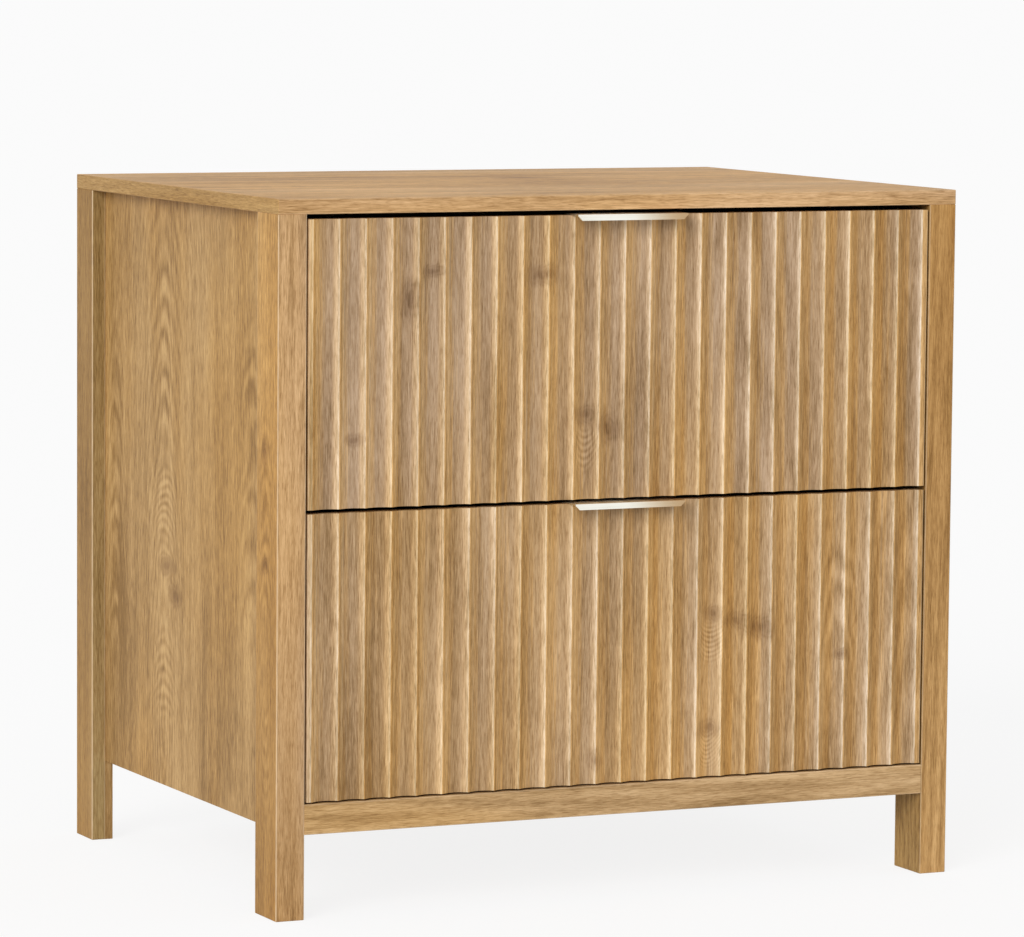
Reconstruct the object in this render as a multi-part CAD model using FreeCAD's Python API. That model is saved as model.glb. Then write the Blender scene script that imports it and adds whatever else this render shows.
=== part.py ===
import FreeCAD, Part
import math
import os

# Two-drawer lateral filing cabinet in wood-effect board, with fluted drawer fronts and edge pulls.
# Sizes are in millimetres. +Z is up, the drawers open towards -Y, and the origin lies on the floor
# under the middle of the outline, pulls included.

# Overall size
cabinet_width = 800.0
cabinet_depth = 600.0
cabinet_height = 755.0

# Boards
board_thickness = 16.0
side_panel_thickness = 9.0
back_thickness = 3.0
arris_chamfer = 0.6
joint_clearance = 0.1
cut_overrun = 1.0

# Posts, rails and carcass panels
post_width = 32.0
post_depth = 58.0
rear_post_depth = 50.0
panel_groove_depth = 8.0
leg_clearance = 90.0
rail_height = 32.0
rail_thickness = 18.0
rear_rail_height = 60.0
back_recess = 10.0
cleat_height = 64.0

# Drawer fronts
front_thickness = 18.0
top_gap = 5.5
middle_gap = 4.5
bottom_gap = 2.0
side_gap = 2.5
flute_pitch = 30.0
flute_depth = 5.0
ridge_radius = 2.0
least_margin = 4.0

# Drawer boxes
box_side_thickness = 12.0
box_lift = 14.0
box_drop = 39.5
base_thickness = 5.0
base_rise = 10.0
base_groove_depth = 5.0
base_clearance = 0.3

# Telescopic ball runners
runner_height = 45.0
runner_thickness = 12.7
runner_steel = 1.2
runner_setback = 2.0
runner_rear_gap = 51.0
runner_rise = 92.0
cabinet_runner_reach = 10.0
cabinet_runner_lip = 3.0
middle_runner_gap = 1.6
middle_runner_reach = 8.0
drawer_runner_reach = 7.5
cage_thickness = 2.6
cage_width = 5.0
cage_end_gap = 8.0
race_clearance = 0.3

# Edge pulls
pull_length = 130.0
pull_projection = 16.0
pull_sheet = 1.5
pull_lip_height = 6.5
pull_lip_taper = 5.0
pull_flange_height = 22.0
pull_bend_radius = 1.2
pull_screw_spacing = 96.0
pull_screw_head_diameter = 7.0
pull_screw_head_height = 2.2
pull_screw_diameter = 3.5
pull_screw_embed = 9.0

# Bars and clips for hanging files
file_bar_spacing = 321.0
file_bar_thickness = 3.0
file_bar_height = 15.0
file_bar_drop = 4.0
clip_width = 26.0
clip_sheet = 2.0
clip_pocket_depth = 3.0
clip_inner_depth = 24.0
clip_outer_depth = 12.0

# Cam discs that pull the boards together
cam_diameter = 12.0
cam_skin = 2.5
cam_setback = 20.0
cam_inset = 45.0

# Places along Y, from the front of the posts to the back of the cabinet
front_face = (pull_projection - cabinet_depth) / 2
rear_face = front_face + cabinet_depth
front_back = front_face + front_thickness
post_rear = front_face + post_depth
rail_back = front_face + rail_thickness
rear_post_front = rear_face - rear_post_depth
back_front = rear_face - back_recess - back_thickness
rear_rail_front = back_front - board_thickness
runner_front = front_back + runner_setback
runner_rear = rear_rail_front - runner_rear_gap
runner_length = runner_rear - runner_front
box_rear = runner_rear
box_back_front = box_rear - box_side_thickness

# Places along X, for the left half
outer_face = -cabinet_width / 2
panel_outer = outer_face + board_thickness
panel_inner = panel_outer + side_panel_thickness
post_inner = outer_face + post_width
front_edge = post_inner + side_gap
box_outer = post_inner + runner_thickness
box_inner = box_outer + box_side_thickness

# Places along Z
top_under = cabinet_height - board_thickness
rail_top = leg_clearance + rail_height
bottom_under = rail_top - board_thickness
front_height = (top_under - rail_top - top_gap - middle_gap - bottom_gap) / 2
box_height = front_height - box_lift - box_drop
drawer_floor = {
    "lower": rail_top + bottom_gap,
    "upper": rail_top + bottom_gap + front_height + middle_gap,
}

# Sizes that follow from the runners' and the cams' own
race_height = cage_thickness + 2 * race_clearance
cabinet_half = runner_height / 2
middle_half = cabinet_half - runner_steel - race_height
drawer_half = middle_half - runner_steel - race_height
middle_web = runner_steel + middle_runner_gap
middle_tip = middle_web + middle_runner_reach
drawer_web = runner_thickness - runner_steel
drawer_tip = runner_thickness - drawer_runner_reach
cam_height = box_side_thickness - cam_skin
cam_axis_depth = box_side_thickness / 2

CENTRE = FreeCAD.Vector(0, 0, 0)
X_AXIS = FreeCAD.Vector(1, 0, 0)
Y_AXIS = FreeCAD.Vector(0, 1, 0)
Z_AXIS = FreeCAD.Vector(0, 0, 1)


def board(x, y, z, ease=0):
    """A board between three pairs of limits, with its arrises eased where a width is given."""
    corner = FreeCAD.Vector(x[0], y[0], z[0])
    block = Part.makeBox(x[1] - x[0], y[1] - y[0], z[1] - z[0], corner)
    if ease:
        return block.makeChamfer(ease, block.Edges)
    return block


def rod(start, direction, length, diameter):
    """A round bar from a point along a direction."""
    return Part.makeCylinder(diameter / 2, length, start, direction)


def extruded(points, direction, length):
    """A prism over a closed outline of points."""
    face = Part.Face(Part.makePolygon(points + points[:1]))
    return face.extrude(direction * length)


def mirrored(shape):
    """The same piece on the other side of the cabinet."""
    return shape.mirror(CENTRE, X_AXIS)


def both_sides(shapes):
    """Left pieces followed by their right twins."""
    return shapes + [mirrored(shape) for shape in shapes]


def drilled(piece, tools):
    """A piece with every hole and groove cut that reaches into it."""
    near = [tool for tool in tools if piece.BoundBox.intersect(tool.BoundBox)]
    if near:
        return piece.cut(near).Solids[0]
    return piece


def save(name, solids):
    """Writes one named piece, or a group of identical ones, to its own file."""
    shape = solids[0] if len(solids) == 1 else Part.makeCompound(solids)
    shape.exportStep(os.path.join("parts", name + ".step"))
    print(name, len(shape.Solids), round(shape.Volume), shape.isValid())


def save_pair(name, left):
    """Writes a left piece and its right twin."""
    save(name + "_left", [left])
    save(name + "_right", [mirrored(left)])


def cam_fitting(centre, face_axis):
    """A cam disc and its pocket, from its point on the bolt's line and the way its board faces."""
    foot = centre + face_axis * (cam_axis_depth - cam_height)
    disc = rod(foot, face_axis, cam_height, cam_diameter)
    pocket = rod(foot, face_axis, cam_height + joint_clearance, cam_diameter + 2 * joint_clearance)
    return disc, pocket


def cam_group(left_places):
    """The discs and pockets of the left cam fittings and their right twins."""
    cams = [cam_fitting(FreeCAD.Vector(*place), face_axis) for place, face_axis in left_places]
    discs = both_sides([disc for disc, pocket in cams])
    pockets = both_sides([pocket for disc, pocket in cams])
    return discs, pockets


def screw(seat, direction, head_diameter, head_height, diameter, length):
    """A pan-head screw with its head on the seat and its shank along the direction."""
    head = rod(seat - direction * head_height, direction, head_height, head_diameter)
    shank = rod(seat, direction, length, diameter)
    return head.fuse(shank).removeSplitter().Solids[0]


def screw_hole(seat, direction, diameter, length):
    """The hole for a screw's shank."""
    start = seat - direction * joint_clearance
    return rod(start, direction, length + 2 * joint_clearance, diameter + 2 * joint_clearance)


def carcass_cam_places():
    """Where the left half's cam discs of the carcass sit, and the way they face."""
    post_y = (front_face + post_rear) / 2
    rear_y = rear_rail_front + cam_axis_depth
    rear_x = panel_inner + cam_setback
    rail_z = (leg_clearance + bottom_under) / 2
    rear_low_z = (rail_top + leg_clearance + rear_rail_height) / 2
    return [
        ((post_inner - cam_axis_depth, post_y, top_under - cam_setback), X_AXIS),
        ((post_inner + cam_setback, rail_back - cam_axis_depth, rail_z), Y_AXIS),
        ((rear_x, rear_y, top_under - rear_rail_height / 2), -Y_AXIS),
        ((rear_x, rear_y, rear_low_z), -Y_AXIS),
    ]


def runner_centre(level):
    """The height of a runner's centre line."""
    return drawer_floor[level] + box_lift + runner_rise


def top_board():
    """The top, level with the posts on all sides."""
    x = (outer_face, -outer_face)
    return board(x, (front_face, rear_face), (top_under, cabinet_height), arris_chamfer)


def front_post():
    """The left front post, grooved behind for the side panel."""
    post = board((outer_face, post_inner), (front_face, post_rear), (0, top_under), arris_chamfer)
    groove_x = (panel_outer, panel_inner + joint_clearance)
    groove_y = (post_rear - panel_groove_depth, post_rear + cut_overrun)
    groove = board(groove_x, groove_y, (leg_clearance, top_under + cut_overrun))
    return post.cut(groove).Solids[0]


def rear_post():
    """The left rear post, a strip on the outside of the side panel."""
    x = (outer_face, panel_outer)
    return board(x, (rear_post_front, rear_face), (0, top_under), arris_chamfer)


def side_panel():
    """The recessed left panel, with a tongue that backs the rear leg."""
    x = (panel_outer, panel_inner)
    front = post_rear - panel_groove_depth + joint_clearance
    sheet = board(x, (front, rear_face), (leg_clearance, top_under))
    tongue = board(x, (rear_post_front, rear_face), (0, leg_clearance))
    return sheet.fuse(tongue).removeSplitter().Solids[0]


def front_rail():
    """The rail under the lower drawer, between the front posts."""
    x = (post_inner, -post_inner)
    return board(x, (front_face, rail_back), (leg_clearance, rail_top), arris_chamfer)


def bottom_panel():
    """The cabinet's floor, notched round the front posts."""
    z = (bottom_under, rail_top)
    sheet = board((panel_inner, -panel_inner), (rail_back, rear_rail_front), z)
    notch_x = (panel_inner - cut_overrun, post_inner + joint_clearance)
    notch_y = (rail_back - cut_overrun, post_rear + joint_clearance)
    notch = board(notch_x, notch_y, (z[0] - cut_overrun, z[1] + cut_overrun))
    return sheet.cut([notch, mirrored(notch)]).Solids[0]


def rear_rail(low):
    """A stretcher between the side panels, in front of the back."""
    z = (low, low + rear_rail_height)
    return board((panel_inner, -panel_inner), (rear_rail_front, back_front), z, arris_chamfer)


def back_panel():
    """The thin back, between the side panels and behind both stretchers."""
    y = (back_front, back_front + back_thickness)
    return board((panel_inner, -panel_inner), y, (leg_clearance, top_under))


def runner_cleat(level):
    """A left strip that brings the side panel level with the front post, under one runner."""
    low = runner_centre(level) - cleat_height / 2
    z = (low, low + cleat_height)
    return board((panel_inner, post_inner), (post_rear, rear_rail_front), z, arris_chamfer)


def channel(level, outline):
    """A left runner's steel channel, from the upper half of its outline."""
    centre = runner_centre(level)
    lower = [(u, -v) for u, v in reversed(outline)]
    points = [FreeCAD.Vector(post_inner + u, runner_front, centre + v) for u, v in outline + lower]
    return extruded(points, Y_AXIS, runner_length)


def cabinet_runner(level):
    """The fixed channel, with lips that keep the balls in."""
    tip = cabinet_runner_reach
    lip = cabinet_half - cabinet_runner_lip
    inside = cabinet_half - runner_steel
    return channel(level, [
        (0, cabinet_half),
        (tip, cabinet_half),
        (tip, lip),
        (tip - runner_steel, lip),
        (tip - runner_steel, inside),
        (runner_steel, inside),
    ])


def middle_runner(level):
    """The channel that travels half as far as the drawer."""
    return channel(level, [
        (middle_web, middle_half),
        (middle_tip, middle_half),
        (middle_tip, middle_half - runner_steel),
        (middle_web + runner_steel, middle_half - runner_steel),
    ])


def drawer_runner(level):
    """The channel on the drawer's side, open towards the cabinet."""
    return channel(level, [
        (runner_thickness, drawer_half),
        (drawer_tip, drawer_half),
        (drawer_tip, drawer_half - runner_steel),
        (drawer_web, drawer_half - runner_steel),
    ])


def ball_race(level, u, v):
    """The upper and lower ball cage of a left runner, halfway along it."""
    length = runner_length / 2 - 2 * cage_end_gap
    start = runner_front + (runner_length - length) / 2
    x = post_inner + u - cage_width / 2
    cages = []
    for height in (v, -v):
        low = runner_centre(level) + height - cage_thickness / 2
        cages.append(board((x, x + cage_width), (start, start + length), (low, low + cage_thickness)))
    return cages


def outer_race(level):
    """Cages between the cabinet's channel and the middle one."""
    u = (runner_steel + cabinet_runner_reach) / 2
    return ball_race(level, u, cabinet_half - runner_steel - race_height / 2)


def inner_race(level):
    """Cages between the middle channel and the drawer's."""
    u = (drawer_tip + middle_tip) / 2
    return ball_race(level, u, middle_half - runner_steel - race_height / 2)


def flute_outline():
    """The front seen from above: a flat back, and a row of hollow flutes between rounded ridges."""
    count = int((-2 * front_edge - 2 * least_margin) // flute_pitch)
    first = -count * flute_pitch / 2
    half_pitch = flute_pitch / 2
    hollow_radius = (half_pitch ** 2 + (ridge_radius - flute_depth) ** 2 - ridge_radius ** 2) / (2 * flute_depth)
    touch_share = ridge_radius / (hollow_radius + ridge_radius)
    touch_x = half_pitch * touch_share
    touch_depth = ridge_radius - (hollow_radius + ridge_radius - flute_depth) * touch_share
    half_turn = math.asin(touch_x / ridge_radius) / 2
    turn_x = ridge_radius * math.sin(half_turn)
    turn_depth = ridge_radius * (1 - math.cos(half_turn))

    def at(x, depth):
        return FreeCAD.Vector(x, front_face + depth, 0)

    def arc(start, through, end):
        return Part.Arc(at(*start), at(*through), at(*end)).toShape()

    def straight(start, end):
        return Part.makeLine(at(*start), at(*end))

    edges = [
        straight((front_edge, 0), (first, 0)),
        arc((first, 0), (first + turn_x, turn_depth), (first + touch_x, touch_depth)),
    ]
    for number in range(count):
        ridge = first + number * flute_pitch
        following = ridge + flute_pitch
        leave = (ridge + touch_x, touch_depth)
        reach = (following - touch_x, touch_depth)
        edges.append(arc(leave, (ridge + half_pitch, flute_depth), reach))
        if number < count - 1:
            edges.append(arc(reach, (following, 0), (following + touch_x, touch_depth)))
    edges += [
        arc((-first - touch_x, touch_depth), (-first - turn_x, turn_depth), (-first, 0)),
        straight((-first, 0), (-front_edge, 0)),
        straight((-front_edge, 0), (-front_edge, front_thickness)),
        straight((-front_edge, front_thickness), (front_edge, front_thickness)),
        straight((front_edge, front_thickness), (front_edge, 0)),
    ]
    return Part.Wire(edges)


def drawer_front(level):
    """The fluted front."""
    front = Part.Face(flute_outline()).extrude(Z_AXIS * front_height)
    front.translate(Z_AXIS * drawer_floor[level])
    return front


def box_heights(level):
    """The lower and upper edge of a drawer box."""
    low = drawer_floor[level] + box_lift
    return low, low + box_height


def drawer_side(level):
    """The left side of a drawer box."""
    return board((box_outer, box_inner), (front_back, box_rear), box_heights(level))


def drawer_back(level):
    """The back of a drawer box, between its sides."""
    return board((box_inner, -box_inner), (box_back_front, box_rear), box_heights(level))


def drawer_base(level, clearance=0):
    """The base of a drawer box, or the groove that takes it when a clearance is given."""
    low = box_heights(level)[0] + base_rise
    edge = box_inner - base_groove_depth - clearance
    y = (front_back - base_groove_depth - clearance, box_back_front + base_groove_depth + clearance)
    return board((edge, -edge), y, (low, low + base_thickness + clearance))


def drawer_cam_places(level):
    """Where the left half's cam discs of a drawer box sit, and the way they face."""
    low, high = box_heights(level)
    side = (box_outer + cam_axis_depth, front_back + cam_setback)
    back = (box_inner + cam_setback, box_rear - cam_axis_depth)
    return [
        ((*side, low + cam_inset), X_AXIS),
        ((*side, high - cam_inset), X_AXIS),
        ((*back, (low + high) / 2), Y_AXIS),
    ]


def edge_pull(level):
    """A folded sheet over the front's upper edge, with a short lip to grip and a flange behind."""
    edge = drawer_floor[level] + front_height
    top = edge + pull_sheet
    lip = front_face - pull_projection
    lip_low = top - pull_lip_height
    flange_low = edge - pull_flange_height
    end = pull_length / 2
    profile = [
        (lip, lip_low), (lip, top), (front_back + pull_sheet, top), (front_back + pull_sheet, flange_low),
        (front_back, flange_low), (front_back, edge), (lip + pull_sheet, edge), (lip + pull_sheet, lip_low),
    ]
    pull = extruded([FreeCAD.Vector(-end, y, z) for y, z in profile], X_AXIS, pull_length)
    bends = [
        side for side in pull.Edges
        if abs(side.BoundBox.XLength - pull_length) < joint_clearance
        and abs(side.BoundBox.ZMin - top) < joint_clearance
    ]
    pull = pull.makeFillet(pull_bend_radius, bends)
    corner = [(end, lip_low), (end - pull_lip_taper, lip_low), (end, edge)]
    wedge = extruded([FreeCAD.Vector(x, lip, z) for x, z in corner], Y_AXIS, pull_sheet)
    return pull.cut([wedge, mirrored(wedge)]).Solids[0]


def pull_screws(level):
    """The two screws of a pull and their holes."""
    z = drawer_floor[level] + front_height - pull_flange_height / 2
    seat = FreeCAD.Vector(-pull_screw_spacing / 2, front_back + pull_sheet, z)
    length = pull_sheet + pull_screw_embed
    left = screw(seat, -Y_AXIS, pull_screw_head_diameter, pull_screw_head_height, pull_screw_diameter, length)
    return both_sides([left]), both_sides([screw_hole(seat, -Y_AXIS, pull_screw_diameter, length)])


def file_bar_places():
    """Where the two bars lie along the drawer."""
    middle = (front_back + box_back_front) / 2
    return {"front": middle - file_bar_spacing / 2, "rear": middle + file_bar_spacing / 2}


def file_bar(level, y):
    """A steel bar across the drawer that hanging files hook on."""
    end = box_inner + clip_sheet + joint_clearance
    high = box_heights(level)[1] - file_bar_drop
    thickness = (y - file_bar_thickness / 2, y + file_bar_thickness / 2)
    return board((end, -end), thickness, (high - file_bar_height, high))


def bar_clip(level, y):
    """A left clip that hooks over the drawer's side and takes a bar's end from above."""
    top = box_heights(level)[1]
    width = (y - clip_width / 2, y + clip_width / 2)
    wall = box_inner + clip_sheet + clip_pocket_depth
    saddle = board((box_outer - clip_sheet, wall), width, (top - clip_inner_depth, top + clip_sheet))
    seat = board((box_outer, box_inner), width, (top - clip_inner_depth, top))
    below = board((box_outer - clip_sheet, box_outer), width, (top - clip_inner_depth, top - clip_outer_depth))
    half_pocket = file_bar_thickness / 2 + joint_clearance
    pocket = board(
        (box_inner + clip_sheet, wall),
        (y - half_pocket, y + half_pocket),
        (top - file_bar_drop - file_bar_height, top + clip_sheet),
    )
    return saddle.cut([seat, below, pocket]).Solids[0]


def build_carcass():
    """Writes every piece that stands still."""
    discs, pockets = cam_group(carcass_cam_places())
    save("top_board", [top_board()])
    save_pair("front_post", drilled(front_post(), pockets))
    save_pair("rear_post", rear_post())
    save_pair("side_panel", side_panel())
    save("front_rail", [drilled(front_rail(), pockets)])
    save("bottom_panel", [bottom_panel()])
    save("rear_top_rail", [drilled(rear_rail(top_under - rear_rail_height), pockets)])
    save("rear_bottom_rail", [drilled(rear_rail(leg_clearance), pockets)])
    save("back_panel", [back_panel()])
    save("carcass_cams", discs)
    for level in drawer_floor:
        save_pair(level + "_runner_cleat", runner_cleat(level))
        save_pair(level + "_cabinet_runner", cabinet_runner(level))


def build_runners(level):
    """Writes the moving pieces between the cabinet and one drawer."""
    save_pair(level + "_middle_runner", middle_runner(level))
    save(level + "_outer_ball_cages", both_sides(outer_race(level)))
    save(level + "_inner_ball_cages", both_sides(inner_race(level)))


def build_drawer(level):
    """Writes every piece of one drawer."""
    discs, pockets = cam_group(drawer_cam_places(level))
    screws, screw_holes = pull_screws(level)
    cuts = pockets + screw_holes + [drawer_base(level, base_clearance)]
    save(level + "_drawer_front", [drilled(drawer_front(level), cuts)])
    save_pair(level + "_drawer_side", drilled(drawer_side(level), cuts))
    save(level + "_drawer_back", [drilled(drawer_back(level), cuts)])
    save(level + "_drawer_base", [drawer_base(level)])
    save(level + "_drawer_cams", discs)
    save_pair(level + "_drawer_runner", drawer_runner(level))
    save(level + "_pull", [drilled(edge_pull(level), screw_holes)])
    save(level + "_pull_screws", screws)
    clips = []
    for place, y in file_bar_places().items():
        save(level + "_file_bar_" + place, [file_bar(level, y)])
        clips.append(bar_clip(level, y))
    save(level + "_bar_clips", both_sides(clips))


os.makedirs("parts", exist_ok=True)
build_carcass()
for drawer_level in drawer_floor:
    build_runners(drawer_level)
    build_drawer(drawer_level)
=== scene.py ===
# %% [markdown]
# # A filing cabinet with fluted drawer fronts
# The cabinet's construction is already solved: every board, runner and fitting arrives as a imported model
# with real joints. This lesson dresses that frame. The boards keep their shapes and get an oak-effect foil,
# the fluted fronts are modelled again so that their hollows shade smoothly, and small fittings that only
# show with a drawer open are added on the bodies that carry them.

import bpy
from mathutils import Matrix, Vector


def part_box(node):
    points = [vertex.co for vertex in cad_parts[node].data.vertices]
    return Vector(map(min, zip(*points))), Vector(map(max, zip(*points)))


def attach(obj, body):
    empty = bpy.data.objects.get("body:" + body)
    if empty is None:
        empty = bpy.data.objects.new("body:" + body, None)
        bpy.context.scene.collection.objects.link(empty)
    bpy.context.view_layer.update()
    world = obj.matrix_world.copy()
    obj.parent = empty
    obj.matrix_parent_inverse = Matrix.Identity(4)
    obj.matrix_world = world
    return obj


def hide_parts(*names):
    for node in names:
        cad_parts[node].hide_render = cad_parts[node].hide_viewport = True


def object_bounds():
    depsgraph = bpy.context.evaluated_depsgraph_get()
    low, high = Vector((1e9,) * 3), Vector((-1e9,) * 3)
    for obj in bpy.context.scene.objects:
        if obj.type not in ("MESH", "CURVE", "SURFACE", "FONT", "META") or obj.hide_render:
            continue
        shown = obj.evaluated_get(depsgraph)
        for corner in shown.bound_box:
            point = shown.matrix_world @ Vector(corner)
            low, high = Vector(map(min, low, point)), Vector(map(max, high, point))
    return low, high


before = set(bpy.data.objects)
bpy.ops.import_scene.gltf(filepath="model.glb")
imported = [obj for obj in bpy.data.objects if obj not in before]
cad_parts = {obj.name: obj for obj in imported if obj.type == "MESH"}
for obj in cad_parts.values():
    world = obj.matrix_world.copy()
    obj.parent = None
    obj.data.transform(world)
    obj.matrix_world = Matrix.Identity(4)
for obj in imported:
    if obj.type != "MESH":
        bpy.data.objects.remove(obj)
cad_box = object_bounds()

# %% [markdown]
# ## Modules and measures
# Lengths are in metres, as in the frame, so a millimetre gets a name of its own. The two drawers and the
# two sides are handled in loops, by the words that the frame's names use.

# %% Modules and measures
import math

import bmesh
import bpy
from mathutils import Matrix, Vector

MILLIMETRE = 0.001
LEVELS = ("upper", "lower")
SIDES = ("left", "right")
print("cabinet box:", [round(value, 4) for corner in cad_box for value in corner])

# %% [markdown]
# ## A small language for finishes
# A finish is a network of nodes. Building it node by node hides the idea, so one class wraps a socket and
# turns ordinary sums into Math nodes, and another makes any other node from its type, its settings and its
# sockets. A grain can then be written as a formula, much as one would describe it.

# %% Sums on sockets
class Field:
    """A value that changes over a surface: one output socket of a finish."""

    def __init__(self, finish, socket):
        self.finish = finish
        self.socket = socket

    def maths(self, operation, *values):
        sockets = dict(enumerate(values))
        return self.finish.node("ShaderNodeMath", {"operation": operation}, sockets)

    def __add__(self, other):
        return self.maths("ADD", self, other)

    def __radd__(self, other):
        return self.maths("ADD", other, self)

    def __sub__(self, other):
        return self.maths("SUBTRACT", self, other)

    def __rsub__(self, other):
        return self.maths("SUBTRACT", other, self)

    def __mul__(self, other):
        return self.maths("MULTIPLY", self, other)

    def __rmul__(self, other):
        return self.maths("MULTIPLY", other, self)

    def __truediv__(self, other):
        return self.maths("DIVIDE", self, other)

    def __pow__(self, other):
        return self.maths("POWER", self, other)

    def least(self, other):
        return self.maths("MINIMUM", self, other)

    def most(self, other):
        return self.maths("MAXIMUM", self, other)

    def sine(self):
        return self.maths("SINE", self)

    def size(self):
        return self.maths("ABSOLUTE", self)

    def fraction(self):
        return self.maths("FRACT", self)

    def hill(self):
        """A smooth bump, 1 where the value is 0, that fades as the value grows."""
        return self.maths("EXPONENT", 0.0 - self)

    def rise(self, low, high):
        """0 below low and 1 above high, with a smooth step between them."""
        sockets = {"Value": self, "From Min": low, "From Max": high}
        return self.finish.node("ShaderNodeMapRange", {"interpolation_type": "SMOOTHSTEP"}, sockets)

    def strip(self, start, full, fade, end):
        """1 between full and fade, and 0 before start and past end."""
        return self.rise(start, full) - self.rise(fade, end)


print("sums on sockets are ready")

# %% [markdown]
# ## Nodes by name
# Every other node is made by one function from its type, its settings and its sockets. A few short names on
# top of it, such as noise, tint and bump, are the words that the finishes are written in.

# %% Any other node
def shaded(tone, red, green, blue):
    """A tone made darker or lighter, with its warmth shifted."""
    return (tone[0] * red, tone[1] * green, tone[2] * blue)


class Finish:
    """A node tree that is built from formulas."""

    def __init__(self, tree):
        self.tree = tree

    def node(self, kind, settings=None, sockets=None, out=0):
        made = self.tree.nodes.new(kind)
        for name, value in (settings or {}).items():
            if name == "stops":
                elements = made.color_ramp.elements
                while len(elements) < len(value):
                    elements.new(1.0)
                for element, (place, colour) in zip(elements, value):
                    element.position = place
                    element.color = (*colour, 1.0)
            else:
                setattr(made, name, value)
        for name, value in (sockets or {}).items():
            if isinstance(value, Field):
                self.tree.links.new(value.socket, made.inputs[name])
            else:
                made.inputs[name].default_value = value
        return Field(self, made.outputs[out]) if made.outputs else None

    def place(self):
        """The point of the surface, and its three coordinates in metres."""
        point = self.node("ShaderNodeTexCoord", out="Object")
        split = {"Vector": point}
        return point, [self.node("ShaderNodeSeparateXYZ", None, split, out=letter) for letter in "XYZ"]

    def noise(self, point, rates, seed, detail=2.0, rough=0.5):
        """Clouds with so many lumps per metre along x, y and z, spread to about 0 to 1."""
        shift = (seed, 1.7 * seed + 3.0, 0.6 * seed - 2.0)
        settings = {"operation": "MULTIPLY_ADD"}
        moved = self.node("ShaderNodeVectorMath", settings, {0: point, 1: rates, 2: shift})
        sockets = {"Vector": moved, "Scale": 1.0, "Detail": detail, "Roughness": rough}
        return (self.node("ShaderNodeTexNoise", None, sockets) - 0.5) * 2.0 + 0.5

    def mix(self, share, first, second):
        """One colour turning into another."""
        sockets = {0: share}
        for name, colour in ((6, first), (7, second)):
            sockets[name] = colour if isinstance(colour, Field) else (*colour, 1.0)
        return self.node("ShaderNodeMix", {"data_type": "RGBA"}, sockets, out=2)

    def tint(self, share, colour, factors):
        """A colour multiplied by three factors, as far as the share says."""
        sockets = {0: share, 6: colour, 7: (*factors, 1.0)}
        return self.node("ShaderNodeMix", {"data_type": "RGBA", "blend_type": "MULTIPLY"}, sockets, out=2)

    def stain(self, colour, field, kind, pattern=None):
        """A colour tinted where a field is high. kind is the field's limits, the strength and the factors."""
        limits, strength, factors = kind
        share = field.rise(*limits)
        if pattern:
            share = share * pattern
        return self.tint(share * strength, colour, factors)

    def ramp(self, share, tone, dark, pale, stops):
        """A tone that turns darker and paler, by three factors each, as a share passes three stops."""
        colours = (shaded(tone, *dark), tone, shaded(tone, *pale))
        return self.node("ShaderNodeValToRGB", {"stops": tuple(zip(stops, colours))}, {0: share})

    def bump(self, height, strength, depth):
        """Fine relief: the height field's depth in metres."""
        sockets = {"Strength": strength, "Distance": depth, "Height": height}
        return self.node("ShaderNodeBump", None, sockets, out="Normal")

    def surface(self, sockets):
        """Ends the tree in a surface that takes these sockets."""
        shader = self.node("ShaderNodeBsdfPrincipled", None, sockets)
        self.end(shader)

    def end(self, shader):
        self.node("ShaderNodeOutputMaterial", None, {"Surface": shader})


def new_finish(name):
    """A named material with an empty tree, and the tree's builder."""
    material = bpy.data.materials.new(name)
    material.use_nodes = True
    material.node_tree.nodes.clear()
    return material, Finish(material.node_tree)


def dress(nodes, material):
    """Puts a finish in every material slot of these CAD nodes."""
    for node in nodes:
        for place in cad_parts[node].material_slots:
            place.material = material


print("node maker is ready")

# %% [markdown]
# ## Oak-effect foil
# The boards are particle board wrapped in a printed foil. The print is flat-sawn oak: growth rings are
# cones round the heart of a log, so a board cut past the heart shows pointed arches where it comes near it
# and straight lines where it is far away. The ring field below is that distance to the heart. A knot pulls
# the rings round itself. Long fibres, pale streaks and fine pores lie over the rings. An image could carry
# all this, but a formula stays sharp at any distance and can be different on every board.

# %% The ring field
RING_PITCH = 7.0 * MILLIMETRE
KNOT_PULL = 22.0 * MILLIMETRE
WANDER = 16.0 * MILLIMETRE
FIGURE_HALF_WIDTH = 55.0 * MILLIMETRE
FAINT_FIGURE = 0.25
# Lumps per metre across and along the grain.
WANDER_RATES = (5.0, 2.4)
KNOT_CROOK_RATES = (60.0, 22.0)
UNEVEN_RATES = (55.0, 1.3)
UNEVEN_RINGS = 0.7
KNOT_CROOK = (0.9, 0.5)
# How near a knot its own rings start to show, and where they show fully.
KNOT_RING_LIMITS = (0.02, 0.40)


def ring_field(finish, point, along, wide, across, rates, heart, seed, knots):
    """Rings counted from the heart, how strong they show, and how near each point is to a knot."""
    offset, depth, slope = heart
    wander = finish.noise(point, rates(*WANDER_RATES), seed, detail=3.0) - 0.5
    from_heart = across - offset + wander * WANDER
    below = along * slope + depth
    distance = (from_heart * from_heart + below * below) ** 0.5
    side = from_heart / FIGURE_HALF_WIDTH
    figure = (side * side).hill() * (1.0 - FAINT_FIGURE) + FAINT_FIGURE
    crook = finish.noise(point, rates(*KNOT_CROOK_RATES), seed + 8.0) - 0.5
    knot_share = None
    for wide_at, along_at, half_width, half_length in knots:
        one = (wide - wide_at) / half_width + crook * KNOT_CROOK[0]
        two = (along - along_at) / half_length + crook * KNOT_CROOK[1]
        near = (one * one + two * two).hill()
        distance = distance - near * KNOT_PULL
        figure = figure.most(near.rise(*KNOT_RING_LIMITS))
        knot_share = near if knot_share is None else knot_share.most(near)
    uneven = finish.noise(point, rates(*UNEVEN_RATES), seed + 7.0) - 0.5
    return distance / RING_PITCH + uneven * UNEVEN_RINGS, figure, knot_share


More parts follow.
